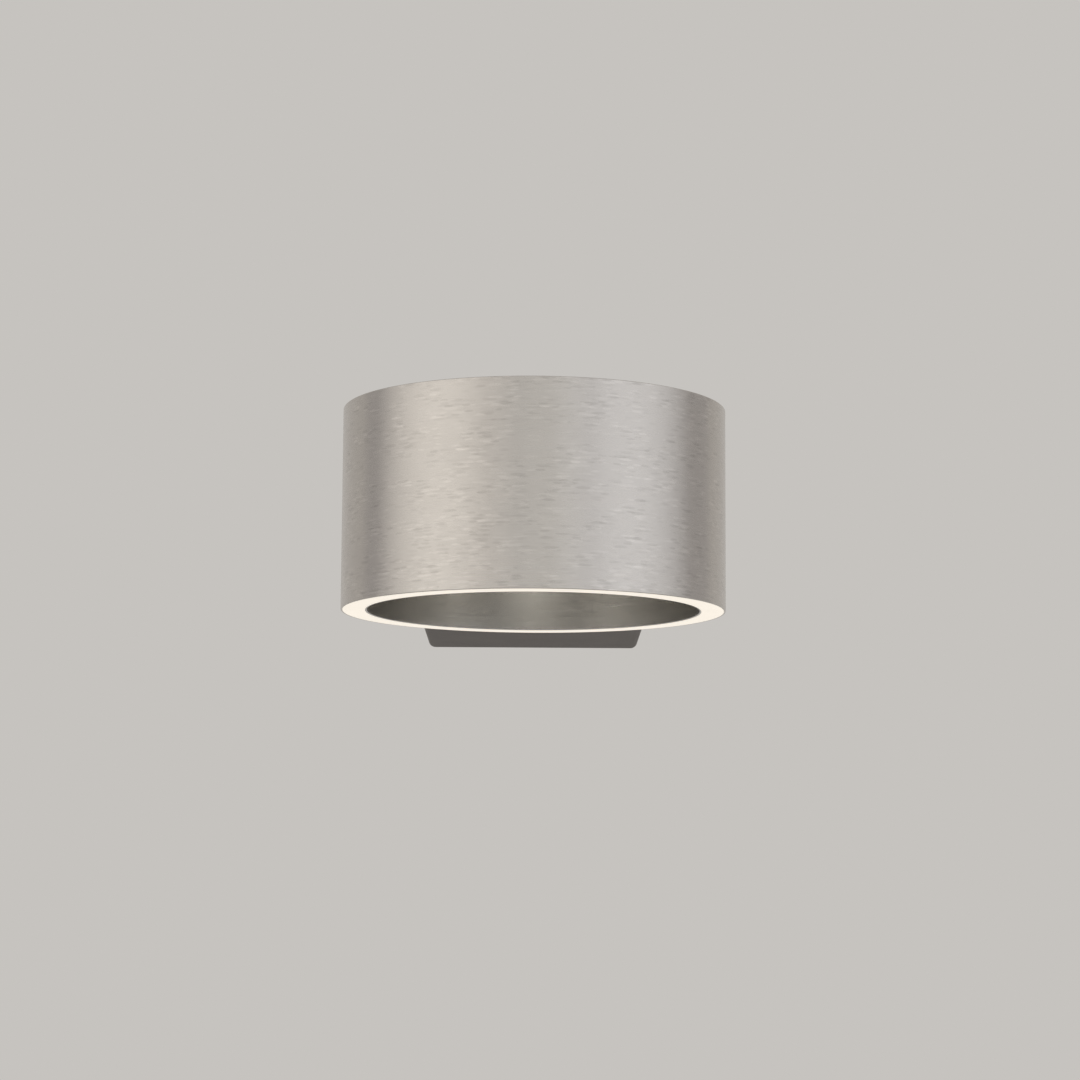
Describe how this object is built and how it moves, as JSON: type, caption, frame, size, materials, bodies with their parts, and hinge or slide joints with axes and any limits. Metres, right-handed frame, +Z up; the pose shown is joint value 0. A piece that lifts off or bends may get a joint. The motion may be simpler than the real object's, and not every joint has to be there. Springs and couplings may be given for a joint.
{
  "type": "tube wall light",
  "caption": "Short open ring of brushed metal on a rectangular rear housing, lit by an opal ring in its top and bottom rims, with driver, LED boards and pull-off wall plate.",
  "frame": {"origin": "where the supply cable leaves the wall, in the middle of the wall plate's back face", "axes": "+Y into the wall, +Z up along the ring's axis, +X to the right as seen by someone who faces the wall"},
  "size_m": [0.152, 0.213, 0.08],
  "materials": {
    "outer_skin": "satin nickel, brushed round the tube",
    "inner_skin": "satin nickel, brushed round the bore",
    "housing_skin": "dark grey powder coat, fine and matt",
    "opal": "opal, satin, lit from inside in warm white",
    "plain_aluminium": "mill",
    "board": "white solder mask",
    "led": "phosphor under clear resin",
    "screw_steel": "zinc plated",
    "black_steel": "black oxide",
    "plate_steel": "zinc plated sheet",
    "black_rubber": "matt",
    "driver_case": "fine texture",
    "terminal_plastic": "moulded",
    "brass": "plain",
    "brown_lead": "insulation",
    "blue_lead": "insulation",
    "earth_lead": "green insulation with a yellow stripe",
    "red_lead": "insulation",
    "black_lead": "insulation"
  },
  "bodies": {
    "wall_bracket": {"wall_plate": "plate_steel", "cable_bush": "black_rubber"},
    "luminaire": {"outer_tube": "outer_skin", "inner_tube": "inner_skin", "upper_diffuser": "opal", "lower_diffuser": "opal", "carrier_ring": "plain_aluminium", "upper_led_board": "board", "lower_led_board": "board", "upper_leds": "led", "lower_leds": "led", "upper_board_screws": "screw_steel", "lower_board_screws": "screw_steel", "rear_housing": "housing_skin", "set_screws": "black_steel", "ring_screws": "screw_steel", "ring_washers": "screw_steel", "lead_bush": "black_rubber", "gear_tray": "plate_steel", "tray_screws": "screw_steel", "led_driver": "driver_case", "driver_screws": "screw_steel", "terminal_block": "terminal_plastic", "clamp_screws": "brass", "block_screws": "screw_steel", "supply_bushes": "black_rubber", "brown_supply_lead": "brown_lead", "blue_supply_lead": "blue_lead", "earth_lead": "earth_lead", "earth_lug": "screw_steel", "earth_washer": "screw_steel", "earth_screw": "brass", "earth_nut": "brass", "red_led_leads": "red_lead", "black_led_leads": "black_lead"}
  },
  "joints": [
    {"name": "housing_pull_off", "type": "slide", "parent": "wall_bracket", "child": "luminaire", "axis": [0, -1, 0], "range_m": [0, 0.05]}
  ]
}
